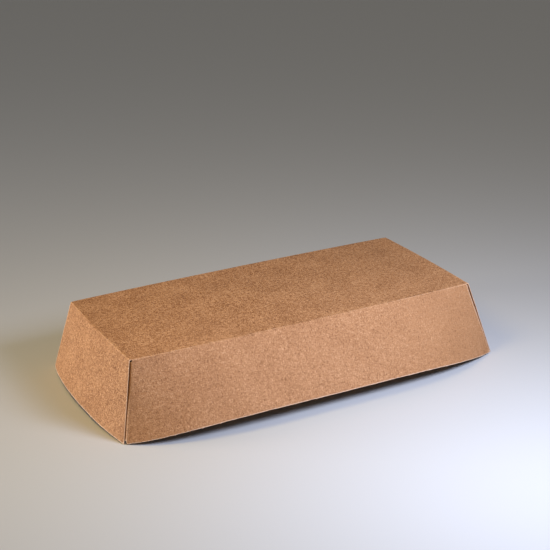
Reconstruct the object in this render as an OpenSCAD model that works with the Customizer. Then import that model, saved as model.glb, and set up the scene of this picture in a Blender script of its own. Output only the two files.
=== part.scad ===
// Kraft food tray: one sheet of brown paperboard, creased and folded into an open
// tray with four sloping sides, standing upside down on the corners of its rim.
// +X runs along the tray, +Z points up out of the base panel, which is on top here.
// The origin is the middle of the surface that the rim corners stand on.
//
// The sheet is drawn as one grid of points, outer skin and inner skin. The middle of
// the grid is the base panel, its four arms are the side panels, and its four corner
// blocks are the glue flaps: each flap carries on from a long panel, turns round the
// corner and lies against the inside of the end panel.

/* [Tray] */
// length of the base panel between its end creases
base_l = 203; // [170:1:230]
// width of the base panel between its long creases
base_w = 90; // [75:1:110]
// height from the outer edge of the rim corners to the outer face of the base panel
tray_h = 40.4; // [34:0.2:48]
// how far each rim corner stands outside the base corner, along X and along Y
flare = 9.5; // [7:0.5:13]

/* [Board] */
// thickness of the paperboard
board_t = 0.5; // [0.4:0.05:0.7]
// radius on the inside of every fold
fold_in = 0.3; // [0.25:0.05:0.5]
// glue film between a flap and the end panel
glue = 0.08; // [0.05:0.01:0.15]

/* [Spring of the panels] */
// lean of a long panel from upright at its middle, where nothing holds it
long_lean = 40; // [26:1:46]
// how closely the corners hold a long panel: a larger number keeps the bulge full up to them
long_hold = 3.6; // [2.4:0.2:5]
// lean of an end panel from upright at its middle
end_lean = 20; // [16:1:28]
// the same for an end panel
end_hold = 2.4; // [2:0.2:4]
// outward bow of a long crease at its middle
long_bow = 1.5; // [0.6:0.1:2.5]
// outward bow of an end crease at its middle
end_bow = 0.8; // [0.5:0.1:1.5]

/* [Glue flaps] */
// reach of a flap along the end panel
flap_w = 24; // [16:1:30]
// gap between a flap's upper edge and the base panel, at the corner
flap_top = 1.1; // [1:0.1:3]
// extra gap there at the flap's free end
flap_taper = 3.3; // [1:0.1:5]
// how far a flap's lower edge stays back from the rim
flap_back = 1.9; // [1.2:0.1:3]
// height of the small corner cut where a long panel's rim meets its fold
rim_cut = 0.3; // [0.2:0.1:1.2]
// how far an end panel's cut edge stops short of the corner line, beside the crease
edge_top = 0.3; // [0.1:0.05:0.6]
// the same at the rim
edge_back = 0.25; // [0.1:0.05:0.6]
// width of the slit between an end panel and the corner fold, beside the base corner
slit_top = 0.5; // [0.1:0.05:1.1]
// the same at the rim; along the flap the slit closes to the glue film
slit_low = 0.12; // [0.05:0.01:0.5]

/* [Hidden] */
a = base_l / 2;
b = base_w / 2;
wall = norm([flare, tray_h]);           // crease to rim, measured down the panel
lean0 = atan(flare / tray_h);           // lean of every panel at the corners
fr = fold_in + board_t;                 // outer radius of a fold
g = board_t + glue;                     // outer face of an end panel to outer face of the flap
nf = 3;                                 // cells round a fold
nt = 4;                                 // cells down a panel, and along a flap
K = nf + nt;                            // cells in an arm of the grid
fine = [0, 0.032, 0.065, 0.11, 0.17, 0.25, 0.34, 0.44, 0.55, 0.7, 0.85];  // steps from a corner to the middle of a long panel
half = [0, 0.03, 0.09, 0.18, 0.32, 0.5, 0.74];                            // and of an end panel
ls = concat([for (v = fine) v - 1], [0], [for (k = [len(fine) - 1:-1:0]) 1 - fine[k]]);
es = concat([for (v = half) v - 1], [0], [for (k = [len(half) - 1:-1:0]) 1 - half[k]]);
N = len(ls) - 1;
M = len(es) - 1;
NI = N + 2 * K;
NJ = M + 2 * K;

function unit(v) = v / norm(v);
function mix(p, q, f) = p + (q - p) * f;
function smooth(x, lo, hi) = let (c = max(0, min(1, (x - lo) / (hi - lo)))) c * c * (3 - 2 * c);
// the slit and the setback of the cut edge at t down the corner line
function slit_at(t) = mix(slit_top, slit_low, smooth(t, 0.2, 0.75));
function edge_at(t) = mix(edge_top, edge_back, smooth(t, 0, 0.5));

// lean of a panel at s, which runs from -1 to 1 between its corners
function long_at(s) = lean0 + (long_lean - lean0) * (1 - pow(abs(s), long_hold));
function end_at(s) = lean0 + (end_lean - lean0) * (1 - pow(abs(s), end_hold));
// its change with s, in radians
function long_turn(s) = -(long_lean - lean0) * long_hold * pow(abs(s), long_hold - 1) * sign(s) * PI / 180;
function end_turn(s) = -(end_lean - lean0) * end_hold * pow(abs(s), end_hold - 1) * sign(s) * PI / 180;
// how much of each side of a crease its fold takes up
function fold_run(lean) = fr * tan((90 - lean) / 2);
run0 = fold_run(lean0);

// outer face of a long panel and its outward normal: sy is the side, t runs from crease to rim
function long_p(sy, s, t) = let (f = long_at(s))
    [(a + flare * t) * s, sy * (b + long_bow * (1 - s * s) + wall * t * sin(f)), tray_h - wall * t * cos(f)];
function long_n(sy, s, t) = let (f = long_at(s), w = wall * t * long_turn(s))
    sy * unit(cross([a + flare * t, sy * (w * cos(f) - 2 * long_bow * s), w * sin(f)],
                    [flare * s, sy * wall * sin(f), -wall * cos(f)]));
// the same for an end panel
function end_p(sx, s, t) = let (f = end_at(s))
    [sx * (a + end_bow * (1 - s * s) + wall * t * sin(f)), (b + flare * t) * s, tray_h - wall * t * cos(f)];
function end_n(sx, s, t) = let (f = end_at(s), w = wall * t * end_turn(s))
    -sx * unit(cross([sx * (w * cos(f) - 2 * end_bow * s), b + flare * t, w * sin(f)],
                     [sx * wall * sin(f), flare * s, -wall * cos(f)]));

// the fold that turns a long panel into its flap, at t down the corner line
function corner(sx, sy, t) = let (
    e = unit([sx * flare, sy * flare, -tray_h]),
    nw = long_n(sy, sx, t),
    ne = end_n(sx, sy, t),
    c = cross(e, nw),
    dw = c * sign(c[0] * sx),
    h = cross(e, ne),
    df = -h * sign(h[1] * sy),
    q = [sx * (a + flare * t), sy * (b + flare * t), tray_h * (1 - t)],
    k = q - dw * (g + slit_at(t)) / (dw * ne),
    turn = acos(dw * df),
    s = k - dw * fr * tan(turn / 2))
    [s, nw, dw, turn];
function corner_p(sx, sy, t, f, o) = let (c = corner(sx, sy, t))
    c[0] - fr * c[1] + (fr - o) * (c[1] * cos(c[3] * f) + c[2] * sin(c[3] * f));

xc = a - g - slit_top - fr;             // end of the long fold beside the base corner
yc = b - run0;

// a long panel and its fold, at station i and step q out from the base panel
function long_v(sy, i, q, o) = let (
    s = ls[i], last = i == 0 || i == N,
    f = long_at(s), r = fold_run(f), turn = 90 - f, w = r / wall)
    q <= nf
    ? [last ? sign(s) * xc : (a + flare * w * q / nf) * s,
       sy * (b + long_bow * (1 - s * s) - r + (fr - o) * sin(turn * q / nf)),
       tray_h - fr + (fr - o) * cos(turn * q / nf)]
    : let (t = mix(w, last ? 1 - rim_cut / wall : 1, (q - nf) / nt))
      last ? corner_p(sign(s), sy, t, 0, o) : long_p(sy, s, t) - o * long_n(sy, s, t);

// an end panel and its fold
function end_v(sx, j, q, o) = let (
    s = es[j], last = j == 0 || j == M,
    f = end_at(s), r = fold_run(f), turn = 90 - f, w = r / wall)
    q <= nf
    ? [q == 0 && last ? sx * xc : sx * (a + end_bow * (1 - s * s) - r + (fr - o) * sin(turn * q / nf)),
       last ? sign(s) * yc : (b + flare * w * q / nf) * s,
       tray_h - fr + (fr - o) * cos(turn * q / nf)]
    : let (t = mix(w, 1, (q - nf) / nt), u = last ? sign(s) * (1 - edge_at(t) / (b + flare * t)) : s)
      end_p(sx, u, t) - o * end_n(sx, u, t);

// a flap: qi counts round the corner and along the end panel, qj counts down the panel
function flap_v(sx, sy, qi, qj, o) = let (
    far = max(0, qi - nf) / nt,
    near = min(1, qi / nf),
    top = (mix(run0, flap_top, near) + flap_taper * far) / wall,
    low = 1 - mix(rim_cut, flap_back, near) / wall,
    t = mix(top, low, (qj - nf) / nt))
    qi <= nf
    ? corner_p(sx, sy, t, qi / nf, o)
    : let (u = sy * (1 - flap_w * far / (b + flare * t)))
      end_p(sx, u, t) - (g + o) * end_n(sx, u, t);

// a point of the grid: i runs along X, j along Y, and k is 0 on the outer skin and 1 on the inner
function vert(i, j, k) = let (
    o = k * board_t,
    qi = i < K ? K - i : i > K + N ? i - K - N : 0,
    qj = j < K ? K - j : j > K + M ? j - K - M : 0,
    sx = i < K ? -1 : 1,
    sy = j < K ? -1 : 1)
    qi > 0 && qj > 0 ? flap_v(sx, sy, qi, qj, o)
    : qj > 0 ? long_v(sy, i - K, qj, o)
    : qi > 0 ? end_v(sx, j - K, qi, o)
    : i == K || i == K + N
      ? (j == K || j == K + M ? [(i == K ? -1 : 1) * xc, (j == K ? -1 : 1) * yc, tray_h - o]
                              : end_v(i == K ? -1 : 1, j - K, 0, o))
    : long_v(j == K ? -1 : 1, i - K, 0, o);

function on_base(i, j) = i >= K && i < K + N && j >= K && j < K + M;
// whether the sheet covers the cell from (i, j) to (i + 1, j + 1)
function covered(i, j) =
    i < 0 || j < 0 || i >= NI || j >= NJ ? false
    : (i < K || i >= K + N) && (j < K || j >= K + M)
      ? (j < K ? K - j - 1 : j - K - M) >= nf
    : true;

function id(i, j, k) = k * (NI + 1) * (NJ + 1) + i * (NJ + 1) + j;

module tray() {
    count = (NI + 1) * (NJ + 1);
    used = [for (k = [0, 1]) for (i = [0:NI]) for (j = [0:NJ])
        (i > K && i < K + N && j > K && j < K + M) || !(covered(i, j) || covered(i - 1, j) || covered(i, j - 1) || covered(i - 1, j - 1))
        ? [0, 0, tray_h - k * board_t] : vert(i, j, k)];
    points = concat(used, [[0, 0, tray_h], [0, 0, tray_h - board_t]]);
    ring = concat(
        [for (j = [K:K + M - 1]) [K, j]],
        [for (i = [K:K + N - 1]) [i, K + M]],
        [for (j = [K + M:-1:K + 1]) [K + N, j]],
        [for (i = [K + N:-1:K + 1]) [i, K]]);
    R = len(ring);
    base = [for (k = [0, 1]) for (m = [0:R - 1]) let (p = ring[m], q = ring[(m + 1) % R])
        k == 0 ? [2 * count, id(p[0], p[1], 0), id(q[0], q[1], 0)]
               : [2 * count + 1, id(q[0], q[1], 1), id(p[0], p[1], 1)]];
    skins = [for (i = [0:NI - 1]) for (j = [0:NJ - 1]) if (covered(i, j) && !on_base(i, j))
        let (flip = (i < NI / 2) == (j < NJ / 2)) for (k = [0, 1]) for (h = [0, 1])
        let (p = id(i, j, k), q = id(i, j + 1, k), r = id(i + 1, j + 1, k), s = id(i + 1, j, k),
             tri = flip ? (h == 0 ? [p, q, s] : [q, r, s]) : (h == 0 ? [p, q, r] : [p, r, s]))
        k == 0 ? tri : [tri[2], tri[1], tri[0]]];
    edges = [for (i = [0:NI - 1]) for (j = [0:NJ - 1]) if (covered(i, j))
        let (p = [i, j], q = [i, j + 1], r = [i + 1, j + 1], s = [i + 1, j]) each concat(
            covered(i - 1, j) ? [] : [[p, q]],
            covered(i, j + 1) ? [] : [[q, r]],
            covered(i + 1, j) ? [] : [[r, s]],
            covered(i, j - 1) ? [] : [[s, p]])];
    rims = [for (e = edges) for (h = [0, 1]) let (p = e[0], q = e[1])
        h == 0 ? [id(q[0], q[1], 0), id(p[0], p[1], 0), id(p[0], p[1], 1)]
               : [id(q[0], q[1], 0), id(p[0], p[1], 1), id(q[0], q[1], 1)]];
    low = min([for (p = points) p[2]]);   // the inner edge of the rim corners is the lowest
    color([0.72, 0.53, 0.36])
        translate([0, 0, -low])
            polyhedron(points, concat(base, skins, rims), convexity = 8);
}

tray();
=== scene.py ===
import math

import bpy
import numpy as np
from mathutils import Matrix, Vector


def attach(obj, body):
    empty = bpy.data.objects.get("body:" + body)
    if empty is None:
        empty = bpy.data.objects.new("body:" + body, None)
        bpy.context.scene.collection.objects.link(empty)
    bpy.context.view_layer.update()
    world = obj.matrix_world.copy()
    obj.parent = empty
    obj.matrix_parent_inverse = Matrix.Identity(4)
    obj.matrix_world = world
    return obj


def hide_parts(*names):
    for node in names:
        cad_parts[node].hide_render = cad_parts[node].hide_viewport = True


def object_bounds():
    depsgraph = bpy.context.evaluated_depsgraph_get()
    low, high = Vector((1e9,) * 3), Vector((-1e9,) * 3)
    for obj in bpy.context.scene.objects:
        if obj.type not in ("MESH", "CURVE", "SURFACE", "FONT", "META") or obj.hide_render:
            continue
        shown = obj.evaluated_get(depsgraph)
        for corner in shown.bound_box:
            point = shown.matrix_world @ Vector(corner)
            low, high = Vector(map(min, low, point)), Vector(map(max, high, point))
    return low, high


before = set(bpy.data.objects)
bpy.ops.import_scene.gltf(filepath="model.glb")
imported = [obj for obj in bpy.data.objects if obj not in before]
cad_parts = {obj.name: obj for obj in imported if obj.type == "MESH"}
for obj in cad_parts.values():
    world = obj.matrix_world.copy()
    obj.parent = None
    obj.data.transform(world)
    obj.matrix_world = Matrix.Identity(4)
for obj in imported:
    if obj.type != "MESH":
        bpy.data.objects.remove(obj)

cad_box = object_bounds()

# ---------------------------------------------------------------- sizes, in millimetres, as in the CAD part
BASE_L, BASE_W, RUN_H, FLARE = 203.0, 90.0, 40.4, 9.5
BOARD, FOLD_IN, GLUE = 0.5, 0.3, 0.08
LONG_LEAN, LONG_HOLD, END_LEAN, END_HOLD = math.radians(40.0), (4.5, 3.5), math.radians(20.0), 2.4
LONG_BOW, END_BOW = 1.5, 0.8
FLAP_W, FLAP_TOP, FLAP_TAPER, FLAP_BACK = 24.0, 0.9, 3.5, 1.9
RIM_CUT, EDGE_BACK, EDGE_TOP, SLIT_TOP, SLIT_LOW, SLIT_RUN = 0.3, 0.25, 0.30, 0.58, 0.12, 10.0

A, B = BASE_L / 2, BASE_W / 2
WALL = math.hypot(FLARE, RUN_H)
LEAN0 = math.atan2(FLARE, RUN_H)
FR = FOLD_IN + BOARD
G = BOARD + GLUE


def unit(v):
    return v / np.linalg.norm(v, axis=-1, keepdims=True)


def mix(p, q, f):
    return p + (q - p) * f


def smooth(x, lo, hi):
    x = np.clip((x - lo) / (hi - lo), 0, 1)
    return x * x * (3 - 2 * x)


def vec(x, y, z):
    x, y, z = np.broadcast_arrays(x, y, z)
    return np.stack([x, y, z], -1).astype(float)


def long_hold(s):
    """The left end of this tray is pulled in a little more sharply than the right one."""
    return np.where(np.asarray(s) < 0, LONG_HOLD[0], LONG_HOLD[1])


def long_at(s):
    return LEAN0 + (LONG_LEAN - LEAN0) * (1 - np.abs(s) ** long_hold(s))


def end_at(s):
    return LEAN0 + (END_LEAN - LEAN0) * (1 - np.abs(s) ** END_HOLD)


def long_turn(s):
    h = long_hold(s)
    return -(LONG_LEAN - LEAN0) * h * np.abs(s) ** (h - 1) * np.sign(s)


def end_turn(s):
    return -(END_LEAN - LEAN0) * END_HOLD * np.abs(s) ** (END_HOLD - 1) * np.sign(s)


def fold_run(lean):
    return FR * np.tan((np.pi / 2 - lean) / 2)


RUN0 = float(fold_run(LEAN0))


def long_p(sy, s, t):
    f = long_at(s)
    return vec((A + FLARE * t) * s, sy * (B + LONG_BOW * (1 - s * s) + WALL * t * np.sin(f)), RUN_H - WALL * t * np.cos(f))


def long_n(sy, s, t):
    f = long_at(s)
    w = WALL * t * long_turn(s)
    du = vec(A + FLARE * t, sy * (w * np.cos(f) - 2 * LONG_BOW * s), w * np.sin(f))
    dv = vec(FLARE * s, sy * WALL * np.sin(f), -WALL * np.cos(f))
    return np.asarray(sy)[..., None] * unit(np.cross(du, dv))


def end_p(sx, s, t):
    f = end_at(s)
    return vec(sx * (A + END_BOW * (1 - s * s) + WALL * t * np.sin(f)), (B + FLARE * t) * s, RUN_H - WALL * t * np.cos(f))


def end_n(sx, s, t):
    f = end_at(s)
    w = WALL * t * end_turn(s)
    du = vec(sx * (w * np.cos(f) - 2 * END_BOW * s), B + FLARE * t, w * np.sin(f))
    dv = vec(sx * WALL * np.sin(f), FLARE * s, -WALL * np.cos(f))
    return -np.asarray(sx)[..., None] * unit(np.cross(du, dv))


def stand_off(t):
    """How far the fold stands in from the glued line: most in the upper third, little near the rim."""
    t = np.asarray(t, float)
    return mix(SLIT_TOP, SLIT_LOW, smooth(t, 0.25, 0.75)) * mix(0.6, 1.0, smooth(t, 0.0, 0.10))


def edge_back(t):
    """How far the end panel's cut edge stops short of the glued line."""
    return mix(EDGE_TOP, EDGE_BACK, smooth(np.asarray(t, float), 0.0, 0.5))


def corner(sx, sy, t):
    """The fold that turns a long panel into its flap, at t down the corner line."""
    t = np.asarray(t, float)
    e = unit(np.array([sx * FLARE, sy * FLARE, -RUN_H]))
    nw, ne = long_n(sy + 0 * t, sx + 0 * t, t), end_n(sx + 0 * t, sy + 0 * t, t)
    dw, df = np.cross(e, nw), np.cross(e, ne)
    dw = dw * np.sign(dw[..., :1] * sx)
    df = -df * np.sign(df[..., 1:2] * sy)
    q = vec(sx * (A + FLARE * t), sy * (B + FLARE * t), RUN_H * (1 - t))
    k = q - dw * ((G + stand_off(t)) / (dw * ne).sum(-1))[..., None]
    turn = np.arccos(np.clip((dw * df).sum(-1), -1, 1))
    s = k - dw * (FR * np.tan(turn / 2))[..., None]
    return s, nw, dw, turn


def fold_x(t, s):
    """Where the corner fold begins on a long panel, as a distance from the middle of the tray."""
    return np.where(s < 0, -corner(-1, 1, t)[0][..., 0], corner(1, 1, t)[0][..., 0])


def corner_p(sx, sy, t, f, o):
    s, nw, dw, turn = corner(sx, sy, t)
    a = (turn * f)[..., None]
    return s - FR * nw + (FR - np.asarray(o))[..., None] * (nw * np.cos(a) + dw * np.sin(a))


# ---------------------------------------------------------------- the folded sheet, as one grid of points
# Small uncut tags that the cutting die leaves along the front and back rims, as shares of the panel's half length.
NICKS = {-1: [-0.80, -0.675, -0.59, -0.21, -0.10, 0.305, 0.42, 0.655], 1: [-0.72, -0.33, 0.12, 0.50, 0.81]}
END_NICKS = {-1: [-0.35, 0.42], 1: [-0.5, 0.2]}


def stations(half, near, far, extra=()):
    """Station values from -1 to 1 that are close together near the corners, with a few more around each tag."""
    d, step, out = 0.0, near, [0.0]
    while d < half:
        d += step
        step = min(far, step * 1.22)
        out.append(d)
    d = np.array(out[:-1]) / half
    d = d[d < 0.995]
    s = list(np.concatenate([d - 1, [0.0], 1 - d[::-1]]))
    for x in extra:
        s = [v for v in s if abs(v - x) * half > 0.95 or abs(v) == 1.0]
        s += [x + k / half for k in (-0.75, -0.34, -0.2, 0.0, 0.2, 0.34, 0.75)]
    return np.array(sorted(set(np.round(s, 6))))


ls = stations(A + FLARE / 2, 0.9, 1.9, sorted(set(NICKS[-1] + NICKS[1])))
es = stations(B + FLARE / 2, 1.1, 1.7, sorted(set(END_NICKS[-1] + END_NICKS[1])))
NF = 7
rows = np.array([0.35, 0.9, 1.8, 3.0, 4.6, 6.5, 8.6, 10.9, 13.3, 15.8, 18.3, 20.8, 23.3, 25.8, 28.3, 30.8, 33.2, 35.4, 37.3, 38.9, 40.0, 40.65, 41.02, 41.22, 41.32])
rows = np.append(rows / 41.4, 1.0)
NT = len(rows)
K = NF + NT
N, M = len(ls) - 1, len(es) - 1
NI, NJ = N + 2 * K, M + 2 * K
cols = np.concatenate([np.linspace(0.03, 0.95, NT - 3), [0.975, 0.99, 1.0]])


def arm(k, count):
    """For each grid line: which side arm it's in (-1, 0, 1) and how many steps out from the base panel."""
    side = np.where(k < K, -1, np.where(k > K + count, 1, 0))
    q = np.where(k < K, K - k, np.where(k > K + count, k - K - count, 0))
    return side, q


def build():
    ii, jj = np.meshgrid(np.arange(NI + 1), np.arange(NJ + 1), indexing="ij")
    si, qi = arm(ii, N)
    sj, qj = arm(jj, M)
    P = np.zeros((2, NI + 1, NJ + 1, 3))
    flat = np.zeros((NI + 1, NJ + 1, 2))
    fold = np.zeros((NI + 1, NJ + 1))
    s_of = ls[np.clip(ii - K, 0, N)]
    e_of = es[np.clip(jj - K, 0, M)]
    endi, endj = (ii <= K) | (ii >= K + N), (jj <= K) | (jj >= K + M)
    sgi, sgj = np.where(ii <= K + N // 2, -1.0, 1.0), np.where(jj <= K + M // 2, -1.0, 1.0)
    wt = lambda q: np.where(q > NF, rows[np.clip(q - NF - 1, 0, NT - 1)], 0.0)
    xc = A - G - float(stand_off(0)) - FR
    yc = B - RUN0
    for k in (0, 1):
        o = k * BOARD
        # ---- long panels (and the long borders of the base panel)
        m = (si == 0)
        s, sy, q, last = s_of[m], sgj[m], qj[m], endi[m]
        r = fold_run(long_at(s * xc / A))
        u = np.clip(q / NF, 0, 1)
        cx = s * mix(xc, fold_x(r / WALL, s), u)
        s = cx / (A + FLARE * r / WALL * u)
        f = long_at(s)
        r = fold_run(f)
        turn, w = np.pi / 2 - f, r / WALL
        bend = vec(cx, sy * (B + LONG_BOW * (1 - s * s) - r + (FR - o) * np.sin(turn * u)), RUN_H - FR + (FR - o) * np.cos(turn * u))
        t = mix(w, np.where(last, 1 - RIM_CUT / WALL, 1.0), wt(q))
        s = s_of[m] * fold_x(t, s_of[m]) / (A + FLARE * t)
        flatwall = long_p(sy, s, t) - o * long_n(sy, s, t)
        for sx in (-1, 1):
            for sq in (-1, 1):
                c = last & (np.sign(s) == sx) & (sy == sq) & (q > NF)
                if c.any():
                    flatwall[c] = corner_p(sx, sq, t[c], np.zeros(c.sum()), np.full(c.sum(), o))
        P[k][m] = np.where((q <= NF)[:, None], bend, flatwall)
        if k == 0:
            flat[m] = np.stack([np.where(q > NF, (A + FLARE * t) * s, A * s), sy * (B + np.where(q > NF, WALL * t, (u - 0.5) * 1.1))], -1)
        # ---- end panels
        m = (sj == 0) & (si != 0)
        s, sx, q, last = e_of[m], sgi[m], qi[m], endj[m]
        f = end_at(s)
        r = fold_run(f)
        turn, w = np.pi / 2 - f, r / WALL
        u = np.clip(q / NF, 0, 1)
        round_y = mix(yc, B - EDGE_TOP, np.sin(u * np.pi / 2))
        cy = np.where(last, np.sign(s) * round_y, (B + FLARE * w * u) * s)
        bend = vec(sx * (A + END_BOW * (1 - s * s) - r + (FR - o) * np.sin(turn * u)), cy, RUN_H - FR + (FR - o) * np.cos(turn * u))
        t = mix(w, 1.0, wt(q))
        v = np.where(last, np.sign(s) * (1 - edge_back(t) / (B + FLARE * t)), s)
        flatwall = end_p(sx, v, t) - o * end_n(sx, v, t)
        P[k][m] = np.where((q <= NF)[:, None], bend, flatwall)
        if k == 0:
            flat[m] = np.stack([sx * (A + np.where(q > NF, WALL * t, (u - 0.5) * 1.1)), np.where(q > NF, (B + FLARE * t) * s, B * s)], -1)
        # ---- base panel border at the end creases
        m = (si == 0) & (sj == 0) & ((ii == K) | (ii == K + N))
        s, sx, last = e_of[m], sgi[m], endj[m]
        r = fold_run(end_at(s))
        x = np.where(last, xc, A + END_BOW * (1 - s * s) - r)
        P[k][m] = vec(sx * x, np.where(last, np.sign(s) * yc, B * s), RUN_H - o)
        # ---- flaps
        m = (si != 0) & (sj != 0)
        sx, sy, a, b = sgi[m], sgj[m], qi[m], qj[m]
        far = np.where(a > NF, cols[np.clip(a - NF - 1, 0, NT - 1)], 0.0)
        near = np.clip(a / NF, 0, 1)
        top = (mix(RUN0, FLAP_TOP, near) + FLAP_TAPER * far) / WALL
        low = 1 - (mix(RIM_CUT, FLAP_BACK, near) + 1.6 * far ** 6) / WALL
        t = mix(top, low, wt(b))
        v = sy * (1 - (FLAP_W - 1.6 * t) * np.maximum(far, 0) / (B + FLARE * t))
        gap = stand_off(t) * (1 - smooth(far * FLAP_W, 0.0, SLIT_RUN))
        out = end_p(sx, v, t) - (G + o + gap)[:, None] * end_n(sx, v, t)
        for x in (-1, 1):
            for y in (-1, 1):
                c = (sx == x) & (sy == y) & (a <= NF)
                out[c] = corner_p(x, y, t[c], near[c], np.full(c.sum(), o))
        P[k][m] = out
        if k == 0:
            flat[m] = np.stack([sx * (A + FLARE * t + far * FLAP_W + near), sy * (B + WALL * t)], -1)
    # how much each point lies in a base fold, and how much painted highlight (with some fold wear) each corner fold
    # gets
    crease = np.zeros((NI + 1, NJ + 1))
    right_line = (ii == K + N) & (sj == 0)
    for q, other, mid in ((qi, sj, np.where(sgi > 0, 0.25, 0.38)), (qj, si, 0.38)):
        c = np.where(other == 0, np.clip(1 - np.abs(q / NF - mid) * 1.5, 0, 1), 0)
        crease = np.maximum(crease, np.where((q > 0) & (q <= NF), c, 0))
    crease[right_line] = 0.62
    # painted highlight along the corner folds, with some real fold wear in it; stronger on the side lines at the seams
    fold_wear_highlight = np.where((si != 0) & (sj != 0) & (qi <= NF), np.clip(1 - np.abs(qi / NF - 0.5) * 1.6, 0, 1), 0)
    wt_of = np.where(sj != 0, wt(qj), wt(qi))
    side = (si == 0) & (sj != 0) & ((ii == K) | (ii == K + N))
    fold_wear_highlight = np.where(side, 0.75, fold_wear_highlight)
    # at the front-left corner this painted highlight fades out in the upper half, where that fold lies in shade
    fold_wear_highlight = np.where((sgi < 0) & (sgj < 0), np.where(side, 0.3, fold_wear_highlight) * mix(0.15, 1.0, smooth(wt_of, 0.35, 0.6)), fold_wear_highlight)
    return P, flat, crease, fold_wear_highlight, (ii, jj, si, qi, sj, qj), sgi, sgj, wt_of


P, flat, crease, corner_wear_highlight, (ii, jj, si, qi, sj, qj), sgi, sgj, wt_of = build()

# The base panel between its four borders is a blend of them.
u = ((ls + 1) / 2)[:, None, None]
v = ((es + 1) / 2)[None, :, None]
for k in (0, 1):
    c = P[k][K:K + N + 1, K:K + M + 1]
    l, r, d, t = c[:1].copy(), c[-1:].copy(), c[:, :1].copy(), c[:, -1:].copy()
    corners = (1 - u) * (1 - v) * c[0, 0] + (1 - u) * v * c[0, -1] + u * (1 - v) * c[-1, 0] + u * v * c[-1, -1]
    P[k][K:K + N + 1, K:K + M + 1] = (1 - u) * l + u * r + (1 - v) * d + v * t - corners
flat[K:K + N + 1, K:K + M + 1] = P[0][K:K + N + 1, K:K + M + 1, :2]

ci, cj = np.meshgrid(np.arange(NI), np.arange(NJ), indexing="ij")
in_corner = ((ci < K) | (ci >= K + N)) & ((cj < K) | (cj >= K + M))
covered = ~(in_corner & (np.where(cj < K, K - cj - 1, cj - K - M) < NF))
pad = np.pad(covered, 1)
used = pad[1:, 1:] | pad[:-1, 1:] | pad[1:, :-1] | pad[:-1, :-1]

# ---------------------------------------------------------------- what a real sheet adds: slow waves, crushed folds, a cut edge
normal = unit(P[0] - P[1] + 1e-12)


def waves(x, y, scale, seed, count=7):
    """A smooth random field of about unit size over the flat sheet; scale is its wavelength in mm."""
    g = np.random.default_rng(seed)
    total = np.zeros_like(x)
    for _ in range(count):
        a, ph = g.uniform(0, 2 * np.pi, 2)
        k = 2 * np.pi / (scale * g.uniform(0.7, 1.5))
        total += np.sin(k * (np.cos(a) * x + np.sin(a) * y) + ph)
    return total / math.sqrt(count / 2)


fx, fy = flat[..., 0], flat[..., 1]
on_flap = (si != 0) & (sj != 0)
# A glued flap follows the end panel that it lies on, so its waves are read at that panel's place.
wx = np.where(on_flap, sgi * (A + np.abs(P[0][..., 0]) - A), fx)
wy = np.where(on_flap, P[0][..., 1], fy)
drop = (RUN_H - P[0][..., 2]) / math.cos(LEAN0)
wx = np.where((si != 0), sgi * (A + drop), wx)
wy = np.where((sj != 0) & (si == 0), sgj * (B + drop), wy)
from_fold = np.where((si == 0) & (sj == 0), np.minimum(A - np.abs(fx), B - np.abs(fy)), drop)
away = smooth(from_fold, 0, 12)
from_side = np.where(si != 0, 1 - np.abs(wy) / (B + FLARE), 1 - np.abs(wx) / (A + FLARE))
hold = np.where((si == 0) & (sj == 0), 1.0, smooth(from_side, 0.0, 0.2))
slow = (0.11 * waves(wx, wy, 62, 3) + 0.05 * waves(wx, wy, 24, 5)) * away * hold
tiny = 0.008 * waves(fx, fy, 3.6, 8) + 0.005 * waves(fx, fy, 2.1, 9)
crush = crease * (-0.020 - 0.004 * waves(fx, fy, 2.6, 12, 9) + 0.006 * waves(fx, fy, 9.0, 13))
on_base = (si == 0) & (sj == 0)
slow = np.where(on_base, slow - away * max(0.0, float((slow / np.maximum(away, 0.3))[on_base].max())), slow)
P += (slow + tiny + crush)[..., None] * normal

# What the material needs to know of the sheet: wear along the folds, distance to the nearest cut edge for the pale
# fibre and painted highlight there, and how strongly the mottle is drawn, which paints in relief shade.
wear = np.zeros_like(crease)
for x, y, most, reach in ((-1, -1, 0.85, 40.0), (1, -1, 0.55, 45.0), (1, 1, 0.45, 60.0), (-1, 1, 0.22, 30.0)):
    wear += most * np.exp(-np.hypot(P[0][..., 0] - x * A, P[0][..., 1] - y * B) / reach)
wear = np.clip(0.30 + wear + 0.16 * waves(P[0][..., 0], P[0][..., 1], 31, 61), 0, 1.15)
# pale band along the rims and seams: partly real cut fibre, partly painted highlight standing in for a raised lip
# catching the lamps
rim_fibre_highlight_reach = np.where((si == 0) & (sj != 0), 1.75 * WALL * (1 - wt_of), 50.0)
rim_fibre_highlight_reach = np.where((sj == 0) & (si != 0), np.minimum(1.25 * WALL * (1 - wt_of), np.where((sgi < 0) & (sgj > 0), 1.2, 3.4) * (1 - np.abs(es[np.clip(jj - K, 0, M)])) * (B + FLARE * wt_of)), rim_fibre_highlight_reach)
rim_fibre_highlight_reach = np.where(on_flap, np.minimum(WALL * (1 - wt_of), 50.0), rim_fibre_highlight_reach)
panel = np.maximum(qi, qj)
# how strongly the mottle is drawn per panel: more on the top and towards its left end, less on the long walls; painted
# relief shade standing in for grazing light
relief_shade_gain = np.where((si == 0) & (sj == 0), mix(1.12, 0.80, smooth(P[0][..., 0], -20.0, 90.0)), np.where(sj != 0, mix(0.58, 0.39, smooth(P[0][..., 0], 20.0, 90.0)), 0.86))
relief_shade_gain = np.where((panel > 0) & (panel <= NF) & ~on_flap, mix(1.0, relief_shade_gain, panel / NF), relief_shade_gain)

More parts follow.
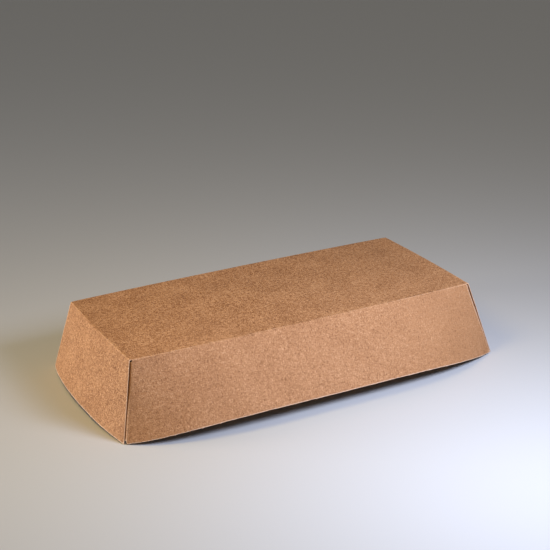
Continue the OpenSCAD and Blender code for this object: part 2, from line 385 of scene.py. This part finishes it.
# The cut rims: a slightly uneven line, and the tags that stand out of it.
TRIM, TAG = 0.20, 0.24
for axis, side in ((1, -1), (1, 1), (0, -1), (0, 1)):
    s, span, marks = (ls, A + FLARE, NICKS) if axis == 1 else (es, B + FLARE, END_NICKS)
    n = -TRIM + 0.03 * waves(s * span, 0 * s, 1.6, 21 + 7 * axis + side) + 0.03 * waves(s * span, 0 * s, 7.0, 31 + 7 * axis + side)
    n = np.where(np.abs(s) > 0.985, -0.06, n)
    for x in marks[side]:
        n += TAG * smooth(0.36 - np.abs(s - x) * span, 0, 0.2)
    for k in (0, 1):
        Q = P[k] if axis == 0 else P[k].swapaxes(0, 1)
        last = 0 if side < 0 else Q.shape[0] - 1
        step = 1 if side < 0 else -1
        part = slice(K, K + len(s))
        d = unit(Q[last, part] - Q[last + 4 * step, part])
        for back, share in ((0, 1.0), (1, 0.87), (2, 0.66), (3, 0.32)):
            Q[last + back * step, part] += d * (np.minimum(n, 0.03) * share)[:, None]

# Soft shoulders: the outermost line of each skin is pressed towards the middle of the board.
rim = ((qj == K) & (si == 0)) | ((qi == K) & (sj == 0))
side_edge = (sj == 0) & (si != 0) & (qi > NF) & ((jj == K) | (jj == K + M)) & ~rim
for k, press, side_press in ((0, -0.07, -0.06), (1, 0.05, 0.20)):
    P[k][rim] += normal[rim] * press
    P[k][side_edge] += normal[side_edge] * side_press

# It stands as the CAD part does and stays inside that part's box.
low, high = (np.array(c) * 1000.0 for c in cad_box)
P[..., 2] += high[2] - RUN_H
P = np.clip(P, low, high)

# ---------------------------------------------------------------- mesh
ids = -np.ones((2, NI + 1, NJ + 1), int)
verts, flats = [], []
marks = {"crease": crease * wear, "corner_fold_wear_highlight": corner_wear_highlight, "edge_fibre_highlight_reach": rim_fibre_highlight_reach, "relief_shade_gain": relief_shade_gain}
values = {name: [] for name in marks}
for k in (0, 1):
    for i, j in zip(*np.nonzero(used)):
        ids[k, i, j] = len(verts)
        verts.append(P[k, i, j] / 1000.0)
        flats.append((flat[i, j, 0], flat[i, j, 1], 60.0 * k))
        for name, field in marks.items():
            values[name].append(field[i, j])
faces, slots = [], []
for i, j in zip(*np.nonzero(covered)):
    q = [(i, j), (i + 1, j), (i + 1, j + 1), (i, j + 1)]
    faces.append([ids[0][p] for p in q]); slots.append(0)
    faces.append([ids[1][p] for p in reversed(q)]); slots.append(1)


def cov(i, j):
    return 0 <= i < NI and 0 <= j < NJ and covered[i, j]


for i, j in zip(*np.nonzero(covered)):
    for (di, dj), p, q in (((-1, 0), (i, j + 1), (i, j)), ((0, 1), (i + 1, j + 1), (i, j + 1)), ((1, 0), (i + 1, j), (i + 1, j + 1)), ((0, -1), (i, j), (i + 1, j))):
        if not cov(i + di, j + dj):
            faces.append([ids[0][q], ids[0][p], ids[1][p], ids[1][q]]); slots.append(2)

mesh = bpy.data.meshes.new("tray_board")
mesh.from_pydata([tuple(v) for v in verts], [], [[int(x) for x in f] for f in faces])
mesh.validate()
for name, data in values.items():
    at = mesh.attributes.new(name, "FLOAT", "POINT")
    at.data.foreach_set("value", np.array(data, np.float32))
at = mesh.attributes.new("sheet", "FLOAT_VECTOR", "POINT")
at.data.foreach_set("vector", np.array(flats, np.float32).ravel())
mesh.polygons.foreach_set("use_smooth", [True] * len(mesh.polygons))
mesh.polygons.foreach_set("material_index", slots)
mesh.update()
mesh.set_sharp_from_angle(angle=math.radians(38))
tray = bpy.data.objects.new("tray_board", mesh)
bpy.context.scene.collection.objects.link(tray)


# ---------------------------------------------------------------- materials
class Nodes:
    """A few short calls for writing a node tree."""

    def __init__(self, name):
        self.mat = bpy.data.materials.new(name)
        self.mat.use_nodes = True
        self.t = self.mat.node_tree
        self.t.nodes.clear()
        self.out = self.t.nodes.new("ShaderNodeOutputMaterial")
        self.bsdf = self.t.nodes.new("ShaderNodeBsdfPrincipled")
        self.t.links.new(self.bsdf.outputs[0], self.out.inputs[0])

    def link(self, a, b):
        self.t.links.new(a, b)

    def put(self, sock, v):
        if isinstance(v, (int, float)):
            sock.default_value = v
        elif isinstance(v, (tuple, list)):
            sock.default_value = v if len(v) == len(sock.default_value) else (*v, 1)
        else:
            self.link(v, sock)

    def attr(self, name, out="Vector"):
        n = self.t.nodes.new("ShaderNodeAttribute")
        n.attribute_name = name
        return n.outputs[out]

    def mapping(self, v, scale=(1, 1, 1), rot=0.0, loc=(0, 0, 0)):
        n = self.t.nodes.new("ShaderNodeMapping")
        r = self.t.nodes.new("ShaderNodeVectorRotate")
        r.rotation_type = "Z_AXIS"
        r.inputs["Angle"].default_value = rot
        self.link(v, r.inputs["Vector"])
        n.inputs["Scale"].default_value = scale
        n.inputs["Location"].default_value = loc
        self.link(r.outputs[0], n.inputs["Vector"])
        return n.outputs[0]

    def noise(self, v, scale=1.0, detail=2.0, rough=0.5, distort=0.0):
        n = self.t.nodes.new("ShaderNodeTexNoise")
        n.inputs["Scale"].default_value = scale
        n.inputs["Detail"].default_value = detail
        n.inputs["Roughness"].default_value = rough
        n.inputs["Distortion"].default_value = distort
        self.link(v, n.inputs["Vector"])
        return n.outputs[0]

    def ramp(self, v, lo, hi, a=0.0, b=1.0, kind="SMOOTHSTEP"):
        n = self.t.nodes.new("ShaderNodeMapRange")
        n.interpolation_type = kind
        self.put(n.inputs["Value"], v)
        for k, x in (("From Min", lo), ("From Max", hi), ("To Min", a), ("To Max", b)):
            n.inputs[k].default_value = x
        return n.outputs[0]

    def math(self, op, a, b=0.0, c=None):
        n = self.t.nodes.new("ShaderNodeMath")
        n.operation = op
        self.put(n.inputs[0], a)
        self.put(n.inputs[1], b)
        if c is not None:
            self.put(n.inputs[2], c)
        return n.outputs[0]

    def mixc(self, f, a, b, mode="MIX"):
        n = self.t.nodes.new("ShaderNodeMix")
        n.data_type = "RGBA"
        n.blend_type = mode
        self.put(n.inputs[0], f)
        self.put(n.inputs[6], a)
        self.put(n.inputs[7], b)
        return n.outputs[2]

    def bump(self, h, strength, distance, after=None):
        n = self.t.nodes.new("ShaderNodeBump")
        n.inputs["Strength"].default_value = strength
        n.inputs["Distance"].default_value = distance
        self.link(h, n.inputs["Height"])
        if after is not None:
            self.link(after, n.inputs["Normal"])
        return n.outputs[0]


def kraft(name, tone, dark, light, crease_tone, fold_wear_highlight_tone, cut_fibre_and_highlight_tone, rough, mottle=1.0, seed=0.0):
    """Uncoated brown board: cloudy formation, short crossing fibres, small specks, pale crushed folds; mottle contrast
    that carries painted relief shade, and painted highlights on the corner folds and along the cut edges.
    """
    n = Nodes(name)
    v = n.attr("sheet")
    v = n.mapping(v, loc=(seed, seed * 0.7, 0))
    cloud = n.noise(v, 0.055, 3, 0.55)
    patch = n.noise(v, 0.42, 3, 0.6, 0.4)
    mott = n.noise(n.mapping(v, (0.85, 1.0, 1)), 1.0, 3, 0.62, 0.3)
    grain = n.noise(v, 1.9, 2, 0.6)
    fibres = None
    for a, (sx, sy), off in ((0.12, (0.34, 1.9), 3.0), (1.05, (0.38, 2.6), 17.0), (-0.95, (0.38, 2.6), 31.0), (1.62, (0.36, 2.1), 47.0), (2.2, (0.5, 3.8), 59.0)):
        f = n.noise(n.mapping(v, (sx, sy, 1), a, (off, off, 0)), 1.0, 2, 0.5, 0.25)
        f = n.math("SUBTRACT", f, 0.5)
        fibres = f if fibres is None else n.math("ADD", fibres, f)
    # one signed field: below zero is darker, above is lighter
    # scaling the mottle per panel paints in relief shade
    gain = n.math("MULTIPLY", n.attr("relief_shade_gain", "Fac"), 1.55 * mottle)
    field = n.math("MULTIPLY", n.math("SUBTRACT", mott, 0.5), 1.25)
    field = n.math("ADD", field, n.math("MULTIPLY", fibres, 0.80))
    field = n.math("ADD", field, n.math("MULTIPLY", n.math("SUBTRACT", patch, 0.5), 0.75))
    field = n.math("ADD", field, n.math("MULTIPLY", n.math("SUBTRACT", grain, 0.5), 1.85))
    field = n.math("ADD", field, n.math("MULTIPLY", n.math("SUBTRACT", cloud, 0.5), 0.55))
    field = n.math("MULTIPLY", field, gain)
    up = n.ramp(field, 0.0, 0.6)
    dn = n.ramp(field, 0.0, -0.6)
    c = n.mixc(up, tone, light)
    c = n.mixc(dn, c, dark)
    # scattered dark specks and pale shives
    speck = n.noise(n.mapping(v, (1, 1, 1), 0.0, (91, 12, 0)), 1.9, 1, 0.4)
    c = n.mixc(n.ramp(speck, 0.70, 0.76, 0, 0.45), c, dark)
    shive = n.noise(n.mapping(v, (0.8, 3.4, 1), 0.5, (11, 73, 0)), 1.0, 1, 0.4)
    c = n.mixc(n.ramp(shive, 0.69, 0.76, 0, 0.5), c, light)
    # pale, broken line where the sheet is crushed in a fold, and a painted highlight along the corner folds
    worn = n.ramp(n.noise(v, 0.9, 3, 0.65), 0.36, 0.62, 0.25, 1.0)
    cr = n.math("MULTIPLY", n.ramp(n.attr("crease", "Fac"), 0.14, 0.62), worn)
    c = n.mixc(n.math("MULTIPLY", cr, 0.85), c, crease_tone)
    # corner folds: painted highlight, partly fold wear
    fold_wear_highlight = n.math("MULTIPLY", n.ramp(n.attr("corner_fold_wear_highlight", "Fac"), 0.1, 0.9), worn)
    c = n.mixc(n.math("MULTIPLY", fold_wear_highlight, 0.95), c, fold_wear_highlight_tone)
    # pale cut fibre along every cut edge, widened into a painted highlight that stands in for a raised lip catching the
    # lamps, broken here and there
    edge_breakup = n.ramp(n.noise(n.mapping(v, (1, 1, 1), 0.0, (5, 9, 0)), 1.3, 3, 0.7), 0.35, 0.68, 0.45, 1.25)
    edge_fibre_and_highlight = n.math("DIVIDE", n.attr("edge_fibre_highlight_reach", "Fac"), edge_breakup)
    c = n.mixc(n.ramp(edge_fibre_and_highlight, 1.25, 0.45, 0, 0.85), c, cut_fibre_and_highlight_tone)
    n.link(c, n.bsdf.inputs["Base Color"])
    n.link(n.ramp(field, -0.5, 0.5, rough + 0.06, rough - 0.05), n.bsdf.inputs["Roughness"])
    n.bsdf.inputs["Specular IOR Level"].default_value = 0.25
    h = n.math("ADD", n.math("MULTIPLY", mott, 0.6), n.math("MULTIPLY", fibres, 0.5))
    h = n.math("ADD", h, n.math("MULTIPLY", grain, 0.35))
    b = n.bump(h, 1.0, 0.00027)
    cracks = n.noise(n.mapping(v, (2.2, 2.2, 1), 0.3), 1.0, 3, 0.7)
    b = n.bump(n.math("MULTIPLY", cracks, n.attr("crease", "Fac")), 0.8, 0.00010, b)
    n.link(b, n.bsdf.inputs["Normal"])
    return n.mat


def cut_edge(name, tone, dark, light):
    """The die-cut edge of the board: layered fibre, paler than the faces."""
    n = Nodes(name)
    v = n.attr("sheet")
    run = n.noise(n.mapping(v, (1, 1, 0.12)), 1.6, 3, 0.7)
    ply = n.noise(n.mapping(v, (0.25, 0.25, 0.35)), 1.0, 3, 0.6)
    c = n.mixc(n.ramp(run, 0.35, 0.65), dark, light)
    c = n.mixc(0.5, c, tone)
    c = n.mixc(n.ramp(ply, 0.55, 0.72, 0, 0.5), c, dark)
    n.link(c, n.bsdf.inputs["Base Color"])
    n.bsdf.inputs["Roughness"].default_value = 0.9
    n.bsdf.inputs["Specular IOR Level"].default_value = 0.25
    n.link(n.bump(run, 0.8, 0.00012), n.bsdf.inputs["Normal"])
    return n.mat


TONE, DARK, LIGHT = (0.448, 0.210, 0.088), (0.225, 0.090, 0.032), (0.660, 0.355, 0.175)
# The fifth colour of each kraft finish below is a painted highlight on the corner folds.
mats = [
    # The sixth colour is pale cut fibre, widened into a painted highlight along the cut edges.
    kraft("kraft_outside", TONE, DARK, LIGHT, (0.68, 0.39, 0.22), (0.80, 0.51, 0.32), (0.84, 0.60, 0.43), 0.62),
    kraft("kraft_inside", (0.425, 0.210, 0.098), (0.240, 0.104, 0.044), (0.600, 0.345, 0.185), (0.58, 0.35, 0.22), (0.62, 0.39, 0.25), (0.66, 0.45, 0.31), 0.60, 0.9, 37.0),
    cut_edge("kraft_cut_edge", (0.74, 0.42, 0.24), (0.50, 0.27, 0.13), (0.84, 0.54, 0.34)),
]
for m in mats:
    mesh.materials.append(m)
mesh.polygons.foreach_set("material_index", slots)

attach(tray, "root")
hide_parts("tray")

# ---------------------------------------------------------------- floor, light, camera
fm = bpy.data.meshes.new("floor")
S = 6.0
fm.from_pydata([(-S, -S, 0), (S, -S, 0), (S, S, 0), (-S, S, 0)], [], [(0, 1, 2, 3)])
floor = bpy.data.objects.new("floor", fm)
bpy.context.scene.collection.objects.link(floor)
fl = Nodes("floor_pale")
fl.bsdf.inputs["Base Color"].default_value = (0.62, 0.61, 0.59, 1)
fl.bsdf.inputs["Roughness"].default_value = 0.55
fl.bsdf.inputs["Specular IOR Level"].default_value = 0.3
fm.materials.append(fl.mat)

AMBIENT = (0.20, (1.0, 0.97, 0.92))
LIGHTS = [
    # name, direction it comes from, distance, size, watts, colour
    ("key_front", (0.18, -0.75, 0.59), 0.32, (0.10, 0.10), 0.53, (0.87, 1.0, 1.38)),
    ("key_right", (0.33, -0.70, 0.60), 0.34, (0.10, 0.10), 0.37, (0.90, 1.0, 1.26)),
    ("low_left", (-0.89, 0.38, 0.030), 0.80, (0.24, 0.14), 5.2, (1.03, 1.0, 0.97)),
    ("high_left", (-0.50, -0.12, 0.92), 0.33, (0.12, 0.12), 0.26, (1.38, 1.0, 0.30)),
]
world = bpy.data.worlds.new("studio")
world.use_nodes = True
world.node_tree.nodes["Background"].inputs[0].default_value = (*AMBIENT[1], 1)
world.node_tree.nodes["Background"].inputs[1].default_value = AMBIENT[0]
bpy.context.scene.world = world
for name, direction, distance, size, power, color in LIGHTS:
    light = bpy.data.lights.new(name, "AREA")
    light.shape = "RECTANGLE"
    light.size, light.size_y = size
    light.energy = power
    light.color = color
    o = bpy.data.objects.new(name, light)
    bpy.context.scene.collection.objects.link(o)
    o.visible_camera = False
    d = Vector(direction).normalized()
    o.location = Vector((0, 0, 0.02)) + d * distance
    o.rotation_euler = (-d).to_track_quat("-Z", "Y").to_euler()

# The photograph's camera: focal length and principal point in pixels of a 550 x 550 frame.
F, PX, PY = 1377.6, 275.0, 275.0
PITCH, YAW, ROLL = math.radians(21.19), math.radians(26.13), math.radians(-1.80)
CAM = Vector((-310.93, -639.99, 326.62)) / 1000.0
fwd = Vector((math.sin(YAW) * math.cos(PITCH), math.cos(YAW) * math.cos(PITCH), -math.sin(PITCH)))
right = Vector((math.cos(YAW), -math.sin(YAW), 0))
up = right.cross(fwd)
right, up = right * math.cos(ROLL) + up * math.sin(ROLL), up * math.cos(ROLL) - right * math.sin(ROLL)
cam_data = bpy.data.cameras.new("camera")
cam_data.sensor_width = 36.0
cam_data.sensor_fit = "HORIZONTAL"
cam_data.lens = F / 550 * 36.0
cam_data.shift_x = (275 - PX) / 550
cam_data.shift_y = (PY - 275) / 550
cam_data.clip_start, cam_data.clip_end = 0.01, 50
cam = bpy.data.objects.new("camera", cam_data)
bpy.context.scene.collection.objects.link(cam)
rot = Matrix((right, up, -fwd)).transposed()
cam.matrix_world = Matrix.Translation(CAM) @ rot.to_4x4()
bpy.context.scene.camera = cam

bpy.context.scene.view_settings.view_transform = "Standard"
bpy.context.scene.view_settings.look = "None"
